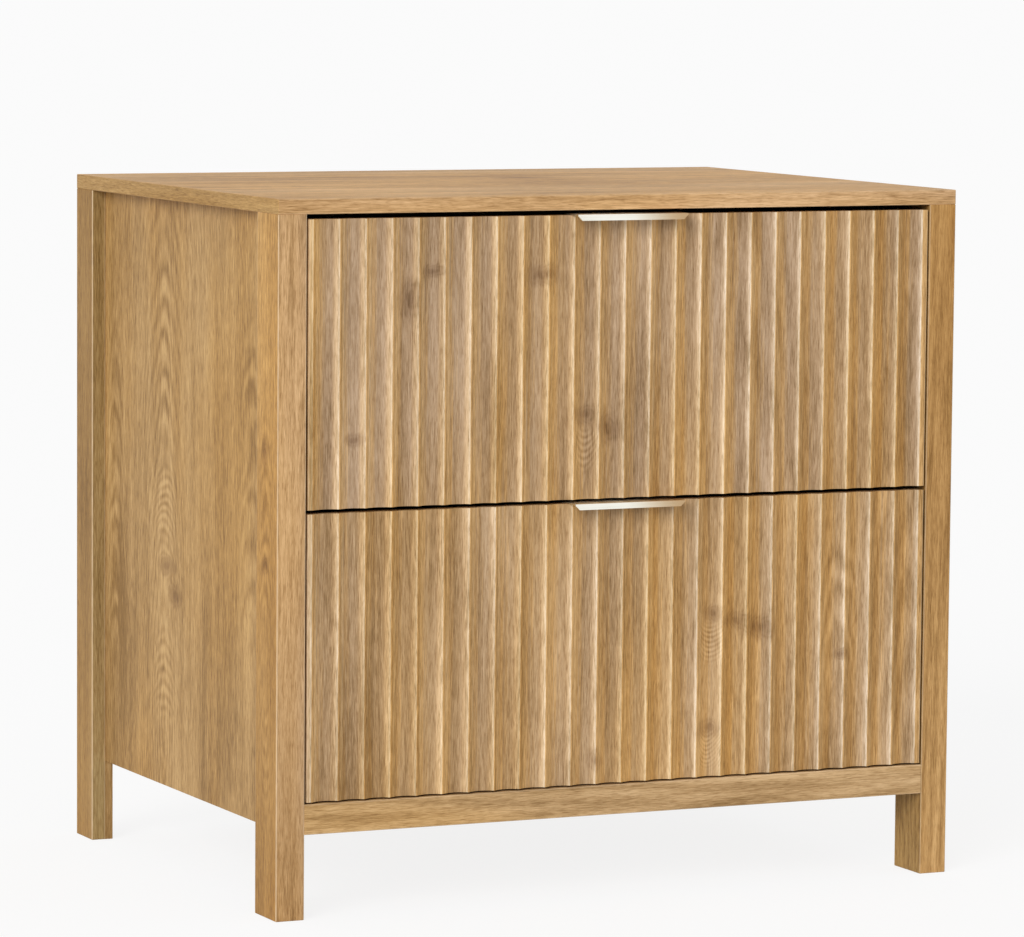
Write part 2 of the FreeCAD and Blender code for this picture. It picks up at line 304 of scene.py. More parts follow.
print("rings every", round(RING_PITCH / MILLIMETRE, 1), "mm")

# %% [markdown]
# ## Edges
# A foil-wrapped board shows a thin pale line along its length. It is partly rubbed foil, where the foil is
# folded over the core, and partly a painted highlight, where the arris catches the light. A point lies on
# such an arris where it is near a face in both directions across the grain, so the line can be worked out
# from the board's own limits and needs no painting by hand.

# %% The arris field
ARRIS_LINE_WIDTH = 1.6 * MILLIMETRE


def arris_field(places, low, high, axis):
    """1 on the arrises along an axis, fading within a line's width."""
    gaps = [(place - start).least(end - place) for place, start, end in zip(places, low, high)]
    del gaps[axis]
    return 1.0 - gaps[0].most(gaps[1]).rise(0.0, ARRIS_LINE_WIDTH)


print("worn lines are", round(ARRIS_LINE_WIDTH / MILLIMETRE, 1), "mm wide")

# %% [markdown]
# ## Marks of the print
# Four kinds of marks make the print: short fibres, long pale streaks, slow clouds of tone and fine dark
# pores, over the rings. All are noise that is stretched along the grain. Across the depth of the cabinet
# the marks are coarser, by a share that goes with the way the grain runs, so that they still read on the
# side and the top.

# %% Marks of the print
DEPTH_SHARES = {"x": 0.4, "y": 0.4, "z": 0.55}
# Lumps per metre across and along the grain.
FIBRE_RATES = (760.0, 46.0)
STREAK_RATES = (110.0, 3.0)
CLOUD_RATES = (16.0, 3.2)
PORE_RATES = (1400.0, 85.0)
ARCH_CROOK_RATES = (26.0, 12.0)
WARM_RATES = (13.0, 1.3)
# How much each mark lightens the print, and the level that is taken off their sum.
FIBRE_WEIGHT = 0.92
STREAK_WEIGHT = 0.48
CLOUD_WEIGHT = 0.50
RING_WEIGHT = 0.14
MARKS_LEVEL = 0.45
# Where that sum gives the dark grain, the board's own tone and the pale grain, and the grains' factors.
PRINT_STOPS = (0.05, 0.50, 0.95)
DARK_GRAIN = (0.58, 0.53, 0.43)
PALE_GRAIN = (1.36, 1.46, 1.66)
# Stains: where each starts and is full, its strength, and its factors.
WARM_STAIN = ((0.30, 0.80), 0.8, (1.04, 0.96, 0.74))
PORE_STAIN = ((0.60, 0.86), 0.6, (0.62, 0.54, 0.44))
KNOT_STAIN = ((0.02, 0.45), 0.7, (0.83, 0.81, 0.80))
KNOT_RINGS = ((0.04, 0.50), 0.6, (0.70, 0.64, 0.58))
KNOT_CORE = ((0.60, 1.00), 0.7, (0.58, 0.51, 0.45))
# Fibres above this level leave gaps in a knot's core.
CORE_FIBRE = 0.3
# How far each mark stands out of the surface, or is sunk in it.
FIBRE_RELIEF = 0.6
PORE_RELIEF = 0.5
PORE_RELIEF_LIMITS = (0.6, 0.9)
RING_RELIEF = 0.1
print("a board's tone goes from", DARK_GRAIN, "to", PALE_GRAIN, "of itself")

# %% [markdown]
# ## The print itself
# The marks are added up to one depth of tone, which a colour ramp turns into oak. A board can also have
# knots, columns of nested arches, broad pale or dark bands, and a tone that changes towards its foot. These
# are given one by one, because they make one board look unlike another.

# %% The print
SLANT = 0.7
ARCH_STRENGTH = 0.20
ARCH_FADE = 0.3
ARCH_CROOK = 0.4


def oak_print(finish, point, places, low, high, grain, heart, tone, seed, marks):
    """The printed oak of a board whose grain runs along x, y or z: its colour, its relief and its fibres.

    marks holds rows by kind, in metres. A knot is its place across and along, its half width and half length.
    A column of arches is its place across, half width, bottom, top, pitch and drop. A band is its place
    across, half width and strength, and a foot its height and the factors of its tint.
    """
    axis = "xyz".index(grain)
    others = [number for number in range(3) if number != axis]
    others.sort(key=lambda number: low[number] - high[number])
    along = places[axis]
    wide = places[others[0]]
    across = wide + places[others[1]] * SLANT

    def rates(over, down):
        found = [over, over * DEPTH_SHARES[grain], over]
        found[axis] = down
        return tuple(found)

    knots = marks.get("knots", ())
    rings, figure, knot = ring_field(finish, point, along, wide, across, rates, heart, seed, knots)
    band = (rings * math.tau).sine()
    fibre = finish.noise(point, rates(*FIBRE_RATES), seed + 1.0, detail=4.0, rough=0.68)
    streak = finish.noise(point, rates(*STREAK_RATES), seed + 2.0, detail=3.0)
    cloud = finish.noise(point, rates(*CLOUD_RATES), seed + 3.0)
    pore = finish.noise(point, rates(*PORE_RATES), seed + 4.0, detail=1.0)

    depth = fibre * FIBRE_WEIGHT + streak * STREAK_WEIGHT + cloud * CLOUD_WEIGHT
    depth = depth + band * figure * RING_WEIGHT - MARKS_LEVEL
    for place, half_width, amount in marks.get("bands", ()):
        side = (wide - place) / half_width
        depth = depth + (side * side).hill() * amount
    crook = finish.noise(point, rates(*ARCH_CROOK_RATES), seed + 10.0) - 0.5
    for place, half_width, bottom, top, pitch, drop in marks.get("arches", ()):
        side = (wide - place) / half_width + crook * ARCH_CROOK
        wave = ((along + side * side * drop + crook * pitch) * (math.tau / pitch)).sine()
        fade = (top - bottom) * ARCH_FADE
        reach = (side * side).hill() * along.strip(bottom, bottom + fade, top - fade, top)
        depth = depth + wave * reach * ARCH_STRENGTH
    colour = finish.ramp(depth, tone, DARK_GRAIN, PALE_GRAIN, PRINT_STOPS)
    warm = finish.noise(point, rates(*WARM_RATES), seed + 5.0)
    colour = finish.stain(colour, warm, WARM_STAIN)
    colour = finish.stain(colour, pore, PORE_STAIN)
    for reach, factors in marks.get("feet", ()):
        colour = finish.tint(1.0 - along.rise(0.0, reach), colour, factors)
    if knot:
        colour = finish.stain(colour, knot, KNOT_STAIN)
        colour = finish.stain(colour, knot, KNOT_RINGS, band * 0.5 + 0.5)
        colour = finish.stain(colour, knot, KNOT_CORE, (1.0 + CORE_FIBRE - fibre).least(1.0))
    pits = pore.rise(*PORE_RELIEF_LIMITS) * PORE_RELIEF
    relief = fibre * FIBRE_RELIEF - pits + band * figure * RING_RELIEF
    return colour, relief, fibre


print("oak print is ready")

# %% [markdown]
# ## From print to board
# The print wraps the faces, but the narrow edges carry a separate band, whose grain follows the edge. A
# band is a plane with its own tint and, on the ends of the top, its own direction of grain. The pale arrises,
# partly rubbed foil and partly painted highlight, come last, over everything else.

# %% The foil
BAND_DEPTH = 0.6 * MILLIMETRE
# The pale arris colour: partly rubbed foil, partly painted highlight. Chips break the line.
ARRIS_WEAR_AND_HIGHLIGHT_COLOUR = (0.760, 0.600, 0.410)
CHIP_RATES = (45.0, 45.0, 45.0)
CHIP_SHARE = 0.5
LEAST_ARRIS_SHARE = 0.55
FOIL_ROUGHNESS = 0.50
FIBRE_ROUGHNESS = 0.14
ARRIS_POLISH = 0.06
FOIL_SPECULAR = 0.18
FOIL_BUMP = 0.25
FOIL_RELIEF = 0.25 * MILLIMETRE


def oak_foil(name, low, high, grain, heart, tone, seed, arris_wear_and_highlight, marks, edges=(), flutes=None):
    """A finish of printed oak for the board with these limits.

    wear is how pale its arrises are, partly rubbed foil and partly painted highlight. edges lists planes,
    each an axis, a place, the factors of its tint and its grain, or None for the board's own. flutes is a
    function that paints light and shade into the print across each flute.
    """
    material, finish = new_finish(name)
    point, places = finish.place()
    colour, relief, fibre = oak_print(finish, point, places, low, high, grain, heart, tone, seed, marks)
    if flutes:
        colour = flutes(finish, point, places, colour)
    second = None
    for number, place, factors, edge_grain in edges:
        away = (places[number] - place).size()
        share = 1.0 - away.rise(BAND_DEPTH / 3, BAND_DEPTH)
        if edge_grain and not second:
            second = oak_print(finish, point, places, low, high, edge_grain, heart, tone, seed + 9.0, {})[0]
        if edge_grain:
            colour = finish.mix(share, colour, second)
        colour = finish.tint(share, colour, factors)
    chips = finish.noise(point, CHIP_RATES, seed + 6.0)
    chipped = (chips * CHIP_SHARE + LEAST_ARRIS_SHARE).least(1.0)
    # Pale arrises: partly rubbed foil, partly painted highlight.
    worn_and_highlit = arris_field(places, low, high, "xyz".index(grain)) * chipped * arris_wear_and_highlight
    colour = finish.mix(worn_and_highlit, colour, ARRIS_WEAR_AND_HIGHLIGHT_COLOUR)
    finish.surface({
        "Base Color": colour,
        "Roughness": FOIL_ROUGHNESS + fibre * FIBRE_ROUGHNESS - worn_and_highlit * ARRIS_POLISH,
        "Specular IOR Level": FOIL_SPECULAR,
        "Normal": finish.bump(relief, FOIL_BUMP, FOIL_RELIEF),
    })
    return material


print("oak foil is ready")

# %% [markdown]
# ## Tones of the carcass
# The boards differ a little in tone, and so do their edges: a post is warmer and darker on its outer side
# than on its face, partly its own tone and partly painted shade, the right front post's inner face carries
# painted shade, and the top's front edge is paler than its ends. The edge bands are planes, found from the
# frame's own boxes.

# %% Tones and edges of the carcass
POST_TONE = (0.555, 0.353, 0.186)
FAR_POST_TONE = (0.397, 0.209, 0.064)
TOP_TONE = (0.540, 0.324, 0.141)
RAIL_TONE = (0.492, 0.314, 0.149)
PANEL_TONE = (0.422, 0.254, 0.099)
STRIP_TONE = (0.316, 0.178, 0.057)
# Outer side of a post: partly a warmer tone, partly painted shade. Inner face of the right post: painted
# shade.
POST_SIDE_TONE_AND_SHADE = (0.92, 0.83, 0.54)
POST_INSIDE_SHADE = (0.74, 0.77, 0.71)
POST_FOOT = (0.62, (0.79, 0.74, 0.65))
POST_LOWER_HALF = (0.60, (0.88, 0.88, 0.87))
POST_TOE = (0.17, (1.12, 1.12, 1.10))
FAR_POST_FOOT = (0.75, (1.24, 1.36, 1.66))
TOP_EDGE = (1.00, 1.05, 1.28)
TOP_SIDE = (0.71, 0.69, 0.54)
STRIP_FACE = (1.06, 1.25, 1.58)

left_face, front_face = cad_box[0][0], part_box("front_rail")[0][1]
right_face = cad_box[1][0]
top_edges = ((1, front_face, TOP_EDGE, None), (0, left_face, TOP_SIDE, "y"), (0, right_face, TOP_SIDE, "y"))
strip_edges = ((1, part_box("rear_post_left")[0][1], STRIP_FACE, None),)
left_edges = ((0, left_face, POST_SIDE_TONE_AND_SHADE, None),)
# The right post's outer side is partly painted shade; its inner face carries painted shade.
right_edges = (
    (0, right_face, POST_SIDE_TONE_AND_SHADE, None),
    (0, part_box("front_post_right")[0][0], POST_INSIDE_SHADE, None),
)
print("edge bands at", [round(place / MILLIMETRE) for place in (left_face, right_face, front_face)], "mm")

# %% [markdown]
# ## The carcass boards
# Each board gets its own foil, because no two boards are cut from the same place in a sheet. Posts, panels
# and fronts have upright grain, the top and the rail have it along their length. The heart says where the
# arches lie: its place across the board, its depth behind the face, and how fast the face climbs away from
# it.

# %% Dress the carcass
top_marks = {"knots": ((0.10, 0.06, 0.016, 0.03),)}
post_marks = {
    "knots": ((-0.258, 0.488, 0.008, 0.012), (-0.258, 0.372, 0.007, 0.010)),
    "arches": ((-0.262, 0.014, 0.270, 0.560, 0.034, 0.028), (-0.262, 0.012, 0.100, 0.240, 0.022, -0.020)),
    "feet": (POST_FOOT, POST_LOWER_HALF, POST_TOE),
}
panel_marks = {
    "knots": ((0.066, 0.335, 0.020, 0.010), (0.040, 0.305, 0.014, 0.012)),
    "arches": ((0.070, 0.028, 0.345, 0.460, 0.011, 0.020), (0.072, 0.026, 0.400, 0.720, 0.040, 0.085),
               (0.072, 0.026, 0.150, 0.280, 0.014, 0.016), (0.225, 0.024, 0.150, 0.650, 0.046, 0.060),
               (-0.185, 0.030, 0.200, 0.700, 0.050, 0.050)),
    "bands": ((-0.010, 0.035, 0.13), (0.130, 0.040, -0.09), (-0.200, 0.026, -0.08), (0.205, 0.045, -0.22)),
}
far_panel_marks = {
    "arches": ((-0.018, 0.030, 0.160, 0.640, 0.030, 0.050), (0.170, 0.030, 0.250, 0.600, 0.044, 0.050)),
    "bands": ((0.090, 0.040, 0.12), (-0.120, 0.040, -0.09)),
}
far_post_marks = {"feet": (FAR_POST_FOOT,)}
# Board, grain, heart, tone, seed of its noise, paleness of its arrises (partly wear, partly painted
# highlight), marks and edges.
CARCASS = (
    ("top_board", "x", (0.05, 0.03, 0.06), TOP_TONE, 11.0, 0.25, top_marks, top_edges),
    ("front_post_left", "z", (-0.75, 0.02, 0.05), POST_TONE, 17.0, 0.8, post_marks, left_edges),
    ("front_post_right", "z", (0.02, 0.03, 0.04), FAR_POST_TONE, 23.0, 0.4, far_post_marks, right_edges),
    ("rear_post_left", "z", (0.62, 0.02, 0.03), STRIP_TONE, 29.0, 0.9, {}, strip_edges),
    ("rear_post_right", "z", (0.70, 0.02, 0.05), STRIP_TONE, 31.0, 0.6, {}, strip_edges),
    ("side_panel_left", "z", (-0.195, -0.03, 0.19), PANEL_TONE, 37.0, 0.3, panel_marks, ()),
    ("side_panel_right", "z", (0.24, 0.05, 0.12), PANEL_TONE, 41.0, 0.3, far_panel_marks, ()),
    ("front_rail", "x", (-0.10, 0.02, 0.03), RAIL_TONE, 43.0, 0.4, {}, ()),
)
for board, grain, heart, tone, seed, arris_wear_and_highlight, marks, edges in CARCASS:
    low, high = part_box(board)
    dress([board], oak_foil("oak_" + board, low, high, grain, heart, tone, seed, arris_wear_and_highlight, marks, edges))
print("oak foil on", len(CARCASS), "carcass boards")

# %% [markdown]
# ## The fluted fronts
# Each front is one thick board with a row of hollow flutes run down its face by a moulding cutter: round
# ridges and wide hollows that meet in a common tangent. The frame's own solid has the same outline in a few
# flat facets, which would show as stripes. Here the outline is drawn by spinning one vertex round the
# centre of each arc in turn, and the closed outline is then pulled up into a solid. Spinning gives true
# arcs without a list of points.

# %% Outline of a front
FLUTE_PITCH = 30.0 * MILLIMETRE
FLUTE_DEPTH = 5.0 * MILLIMETRE
RIDGE_RADIUS = 2.0 * MILLIMETRE
FLUTE_COUNT = 24
RIDGE_STEPS = 5
HOLLOW_STEPS = 18
half_pitch = FLUTE_PITCH / 2
rest = RIDGE_RADIUS - FLUTE_DEPTH
hollow_radius = (half_pitch ** 2 + rest ** 2 - RIDGE_RADIUS ** 2) / (2 * (RIDGE_RADIUS - rest))
meeting_angle = math.asin(half_pitch / (hollow_radius + RIDGE_RADIUS))


def last_vertex(result):
    return [item for item in result["geom_last"] if isinstance(item, bmesh.types.BMVert)][0]


def swept(mesh, vertex, centre, angle, steps):
    """Carries a vertex round a centre and leaves an arc of edges behind it."""
    result = bmesh.ops.spin(mesh, geom=[vertex], cent=centre, axis=(0, 0, 1), angle=angle, steps=steps)
    return last_vertex(result)


def drawn(mesh, vertex, x, y):
    """Carries a vertex straight to x, y and leaves an edge behind it."""
    made = bmesh.ops.extrude_vert_indiv(mesh, verts=[vertex])["verts"][0]
    bmesh.ops.translate(mesh, verts=[made], vec=(x - made.co.x, y - made.co.y, 0))
    return made


print("hollow radius", round(hollow_radius / MILLIMETRE, 2), "mm")

# %% [markdown]
# ## Modelling a front
# The pen goes along the face from left to right, one ridge and one hollow after the other, and round the
# back to its start. The line is filled and pulled up to the front's height. The upright edges at the ends
# are found here too, so that they can be rounded a little like the arrises of the other boards.

# %% Model a front
FRONT_ARRIS = 0.6 * MILLIMETRE


def fluted_front(low, high):
    """A board between two corners, fluted on its face towards -y."""
    mesh = bmesh.new()
    face = low[1]
    first_ridge = (low[0] + high[0]) / 2 - FLUTE_COUNT * half_pitch
    start = bmesh.ops.create_vert(mesh, co=(low[0], face, low[2]))["vert"][0]
    pen = drawn(mesh, start, first_ridge, face)
    for number in range(FLUTE_COUNT):
        ridge = first_ridge + number * FLUTE_PITCH
        pen = swept(mesh, pen, (ridge, face + RIDGE_RADIUS, low[2]), meeting_angle, RIDGE_STEPS)
        centre = (ridge + half_pitch, face + FLUTE_DEPTH - hollow_radius, low[2])
        pen = swept(mesh, pen, centre, -2 * meeting_angle, HOLLOW_STEPS)
        centre = (ridge + FLUTE_PITCH, face + RIDGE_RADIUS, low[2])
        pen = swept(mesh, pen, centre, meeting_angle, RIDGE_STEPS)
    for x, y in ((high[0], face), (high[0], high[1]), (low[0], high[1])):
        pen = drawn(mesh, pen, x, y)
    bmesh.ops.contextual_create(mesh, geom=[pen, start])
    outline = bmesh.ops.contextual_create(mesh, geom=mesh.edges[:])["faces"]
    pulled = bmesh.ops.extrude_face_region(mesh, geom=outline)["geom"]
    upper = [item for item in pulled if isinstance(item, bmesh.types.BMVert)]
    bmesh.ops.translate(mesh, verts=upper, vec=(0, 0, high[2] - low[2]))
    bmesh.ops.recalc_face_normals(mesh, faces=mesh.faces[:])
    return mesh


def upright_corners(mesh, low, high):
    """The upright edges at a board's four corners."""
    found = []
    for edge in mesh.edges:
        one, two = (vertex.co for vertex in edge.verts)
        upright = abs(one.z - two.z) > FRONT_ARRIS
        at_end = min(abs(one.x - low[0]), abs(one.x - high[0])) < FRONT_ARRIS / 2
        if upright and at_end:
            found.append(edge)
    return found


def finished_piece(name, mesh, material, smooth_below=30.0):
    """Turns a bmesh into an object at the origin, smooth where its faces meet gently."""
    data = bpy.data.meshes.new(name)
    mesh.to_mesh(data)
    mesh.free()
    data.materials.append(material)
    data.shade_smooth()
    data.set_sharp_from_angle(angle=math.radians(smooth_below))
    piece = bpy.data.objects.new(name, data)
    bpy.context.scene.collection.objects.link(piece)
    return piece


print("front maker is ready")

# %% [markdown]
# ## The fronts' foil
# Light and shade are painted into the print across each flute. Just past each ridge, on the flank turned
# away from the lamp, a golden tint stands for warm bounced light, with a painted lift of light beside the
# ridge. The hollows are painted darker and greyer, partly a greyer print and partly painted shade, deeper
# towards the right of a front. Towards the next ridge, which faces the lamp, a painted highlight rises, and
# the ridge itself is pale, partly rubbed foil and partly painted highlight. All of these follow the flutes,
# so the finish counts how far a point lies across its flute, from the same pitch that shaped the board. Fine
# streaks break up the borders between the tones. The golden share widens slowly from left to right, and the
# flat back of the board has none of it.

# %% Tones across a flute
DRIFT_RATES = (14.0, 14.0, 1.6)
DRIFT_SEED = 77.0
DRIFT_REACH = 0.16
TONE_STREAK_RATES = (420.0, 420.0, 9.0)
TONE_STREAK_SEED = 83.0
TONE_STREAK_REACH = 0.36
# Places across a flute, 0 at a ridge and 1 at the next: where a tone starts, is full, fades and ends.
RIDGE_SHIFT = 0.02
# Painted warm bounce light on the flank just past a ridge, turned away from the lamp.
PAINTED_BOUNCE_END = (0.0, 0.54)
# The hollows: partly a greyer print, partly painted shade.
HOLLOW_GREY_AND_SHADE_START = (0.08, 0.56)
HOLLOW_GREY_AND_SHADE_END = (0.72, 0.90)
# Painted shade in the hollow, deeper towards the right of a front.
DEEP_SHADE_STRIP = (0.14, 0.26, 0.44, 0.58)
# A painted lift of light on the shaded flank beside the ridge, weaker to the right.
LIT_STRIP = (0.08, 0.14, 0.19, 0.26)
# Painted highlight on the flank that faces the lamp.
FLANK_HIGHLIGHT_START = (0.78, 0.92)
# Painted highlight close to the ridge, stronger towards the right of a front.
RIDGE_HIGHLIGHT_STRIP = (0.82, 0.90, 0.95, 1.0)
# On the ridge: partly rubbed foil, partly painted highlight.
RUBBED_AND_HIGHLIT_START = (0.92, 0.97)
# How the tones change from the left of a front to its right, and with the slow clouds.
HOLLOW_GREY_AND_SHADE_END_SHIFT = 0.10
FLANK_HIGHLIGHT_SHIFT = 0.08
LIT_LOSS = 0.8
HOLLOW_GREY_AND_SHADE_CLOUD = 0.3
LEAST_HOLLOW_GREY_AND_SHADE = 0.8
# Factors of red, green and blue, of painted light and shade; the last is also partly rubbed foil.
PAINTED_BOUNCE_TINT = (1.06, 0.97, 0.74)
DEEP_SHADE_TINT = (0.87, 0.82, 0.72)
LIT_TINT = (1.10, 1.17, 1.30)
FLANK_HIGHLIGHT_TINT = (1.06, 1.12, 1.20)
RIDGE_HIGHLIGHT_TINT = (1.05, 1.13, 1.30)
RUBBED_AND_HIGHLIT_TINT = (1.14, 1.26, 1.46)


def painted_flute_shading(first_ridge, face, reach, hollow):
    """Paints light and shade into a foil by its place across a flute.

    reach is how far the painted warm bounce widens to the right, hollow the factors of the painted hollow
    shade.
    """
    def tinted(finish, point, places, colour):
        across = ((places[0] - first_ridge) / FLUTE_PITCH + RIDGE_SHIFT).fraction()
        widening = places[0].rise(first_ridge, first_ridge + FLUTE_COUNT * FLUTE_PITCH)
        drift = finish.noise(point, DRIFT_RATES, DRIFT_SEED)
        streaks = finish.noise(point, TONE_STREAK_RATES, TONE_STREAK_SEED, detail=3.0)
        wavy = across + (drift - 0.5) * DRIFT_REACH + (streaks - 0.5) * TONE_STREAK_REACH
        shifted = wavy - widening * reach
        # Painted shade in the hollows, partly a greyer print.
        hollow_grey_and_shade = shifted.rise(*HOLLOW_GREY_AND_SHADE_START) - (across - widening * HOLLOW_GREY_AND_SHADE_END_SHIFT).rise(*HOLLOW_GREY_AND_SHADE_END)
        # Each strip is painted light or shade; the hollows are also partly a greyer print, the ridges partly
        # rubbed.
        strips = (
            (1.0 - shifted.rise(*PAINTED_BOUNCE_END), PAINTED_BOUNCE_TINT),
            (hollow_grey_and_shade * (drift * HOLLOW_GREY_AND_SHADE_CLOUD + LEAST_HOLLOW_GREY_AND_SHADE), hollow),
            (across.strip(*DEEP_SHADE_STRIP) * widening, DEEP_SHADE_TINT),
            (across.strip(*LIT_STRIP) * (1.0 - widening * LIT_LOSS), LIT_TINT),
            ((across - widening * FLANK_HIGHLIGHT_SHIFT).rise(*FLANK_HIGHLIGHT_START), FLANK_HIGHLIGHT_TINT),
            (across.strip(*RIDGE_HIGHLIGHT_STRIP) * widening, RIDGE_HIGHLIGHT_TINT),
            (across.rise(*RUBBED_AND_HIGHLIT_START), RUBBED_AND_HIGHLIT_TINT),
        )
        made = colour
        for share, factors in strips:
            made = finish.tint(share, made, factors)
        behind = places[1].rise(face + FLUTE_DEPTH, face + FLUTE_DEPTH + MILLIMETRE)
        return finish.mix(behind, made, colour)
    return tinted


print("tones follow flutes of", round(FLUTE_PITCH / MILLIMETRE), "mm")

# %% [markdown]
# ## The two fronts
# Each front has its own knots, arches and bands. The new board stands for the frame's solid, so it takes
# its corners from that solid's box, replaces it and rides on the same drawer.

# %% Finish and place the fronts
FRONT_TONE = (0.520, 0.335, 0.171)
# How pale the fronts' arrises are: partly rubbed foil, partly painted highlight.
FRONT_ARRIS_WEAR_AND_HIGHLIGHT = 0.4
FRONT_SEEDS = {"upper": 53.0, "lower": 61.0}
FRONT_MARKS = {
    "upper": {
        "knots": ((-0.046, 0.521, 0.010, 0.009), (-0.020, 0.505, 0.012, 0.014),
                  (-0.310, 0.503, 0.010, 0.006), (-0.251, 0.646, 0.010, 0.018),
                  (-0.222, 0.678, 0.012, 0.006), (-0.094, 0.671, 0.020, 0.010)),
        "arches": ((-0.046, 0.010, 0.455, 0.512, 0.0070, -0.008),),
        "bands": ((-0.298, 0.050, 0.07), (-0.060, 0.050, -0.13), (0.057, 0.050, 0.07), (0.176, 0.050, 0.07),
                  (0.294, 0.050, -0.07)),
    },
    "lower": {
        "knots": ((0.108, 0.300, 0.009, 0.008), (0.138, 0.292, 0.016, 0.009), (0.166, 0.284, 0.016, 0.012),
                  (0.105, 0.176, 0.011, 0.009), (0.266, 0.250, 0.006, 0.006), (-0.030, 0.150, 0.007, 0.012)),
        "arches": ((0.106, 0.012, 0.243, 0.296, 0.0052, -0.006), (0.106, 0.013, 0.126, 0.180, 0.0050, -0.013),
                   (0.262, 0.026, 0.200, 0.410, 0.055, 0.100)),
        "bands": ((-0.298, 0.050, -0.09), (-0.180, 0.050, 0.11), (-0.060, 0.050, -0.12), (0.057, 0.050, 0.16),
                  (0.176, 0.050, -0.06)),
    },
}
# For each front: how far the painted bounce light widens to the right, and the factors of the painted hollow
# shade.
FRONT_PAINTED_SHADING = {"upper": (0.18, (0.72, 0.74, 0.84)), "lower": (0.28, (0.75, 0.76, 0.80))}
FRONT_HEARTS = {"upper": (-0.05, 0.06, 0.05), "lower": (0.16, 0.05, 0.08)}
for level in LEVELS:
    node = level + "_drawer_front"
    low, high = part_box(node)
    tint = painted_flute_shading((low[0] + high[0]) / 2 - FLUTE_COUNT * half_pitch, low[1], *FRONT_PAINTED_SHADING[level])
    material = oak_foil("oak_" + node, low, high, "z", FRONT_HEARTS[level], FRONT_TONE, FRONT_SEEDS[level],
                        FRONT_ARRIS_WEAR_AND_HIGHLIGHT, FRONT_MARKS[level], flutes=tint)
    mesh = fluted_front(low, high)
    bmesh.ops.bevel(mesh, geom=upright_corners(mesh, low, high), offset=FRONT_ARRIS, offset_type="OFFSET",
                    affect="EDGES", segments=2, profile=0.5, material=-1)
    front = finished_piece(level + "_fluted_front", mesh, material)
    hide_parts(node)
    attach(front, level + "_drawer")
    print(front.name, len(front.data.polygons), "faces")

# %% [markdown]
# ## Inner boards
# Inside, such a cabinet is plainer: the boxes, cleats and stretchers are faced with a thin melamine paper
# with a faint printed grain and a very slight linen texture, and the back and the drawer bottoms are thin
# board with a paper face. A weak grain and the texture keep them from looking like painted blocks.

# %% Melamine and thin board
INNER_TONE = (0.500, 0.360, 0.230)
THIN_TONE = (0.420, 0.285, 0.165)
# Lumps per metre of the grain, across and along, of the clouds and of the linen, and the share of each.
FACE_GRAIN_RATES = (260.0, 5.0)
FACE_CLOUD_RATE = 6.0
LINEN_RATE = 900.0
FACE_SHARES = (0.55, 0.30, 0.15)
SKIN_STOPS = (0.2, 0.5, 0.8)
DARK_FACE = (0.82, 0.80, 0.77)
PALE_FACE = (1.14, 1.17, 1.22)
# Tint and strength of the pale arrises: partly rubbed paper, partly painted highlight.
FACE_EDGE = (1.25, 1.34, 1.50)
FACE_ARRIS_WEAR_AND_HIGHLIGHT = 0.5
FACE_ROUGHNESS = 0.5
FACE_RELIEF = 0.15 * MILLIMETRE


def faced_board(name, tone, axis, low, high):
    """A paper-faced board with a faint grain along an axis."""
    material, finish = new_finish(name)
    point, places = finish.place()
    across, along = FACE_GRAIN_RATES
    rates = [along if number == axis else across for number in range(3)]
    grain = finish.noise(point, rates, 5.0, detail=3.0)
    cloud = finish.noise(point, (FACE_CLOUD_RATE,) * 3, 9.0)
    linen = finish.noise(point, (LINEN_RATE,) * 3, 13.0, detail=1.0)
    depth = grain * FACE_SHARES[0] + cloud * FACE_SHARES[1] + linen * FACE_SHARES[2]
    colour = finish.ramp(depth, tone, DARK_FACE, PALE_FACE, SKIN_STOPS)
    # Pale arrises: partly rubbed paper, partly painted highlight.
    worn_and_highlit = arris_field(places, low, high, axis) * FACE_ARRIS_WEAR_AND_HIGHLIGHT
    finish.surface({
        "Base Color": finish.mix(worn_and_highlit, colour, shaded(tone, *FACE_EDGE)),
        "Roughness": FACE_ROUGHNESS + linen * 0.15,
        "Normal": finish.bump(linen * 0.6 + grain * 0.4, 0.2, FACE_RELIEF),
    })
    return material


inner_boards = {"bottom_panel": "x", "rear_top_rail": "x", "rear_bottom_rail": "x", "back_panel": "x"}
for level in LEVELS:
    inner_boards[level + "_drawer_back"] = "x"
    inner_boards[level + "_drawer_base"] = "x"
    for side in SIDES:
        inner_boards[level + "_drawer_side_" + side] = "y"
        inner_boards[level + "_runner_cleat_" + side] = "y"
for board, grain in inner_boards.items():
    tone = THIN_TONE if board == "back_panel" or board.endswith("_base") else INNER_TONE
    dress([board], faced_board("faced_" + board, tone, "xyz".index(grain), *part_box(board)))
print("paper face on", len(inner_boards), "inner boards")

# %% [markdown]
# ## Metals and plastics
# The pulls are folded from brass-coloured sheet, brushed along their length and lacquered, so their fine
# lines run along x. The runners are zinc-plated steel with a faint cloudy bloom, the cams are cast zinc,
# the bars for hanging files are black enamel, and the cages and clips are moulded plastic with a fine
# spark-eroded texture.

# %% Metals
BLOOM_RATE = 35.0
LINE_SHARE = 0.6
DARK_METAL = (0.90, 0.88, 0.84)
PALE_METAL = (1.06, 1.07, 1.10)
LINE_ROUGHNESS = 0.10
LINE_DEPTH = 0.05 * MILLIMETRE
# How far the edge of the pulls' painted reflection wavers.
REFLECTION_EDGE_WAVE = 12.0 * MILLIMETRE


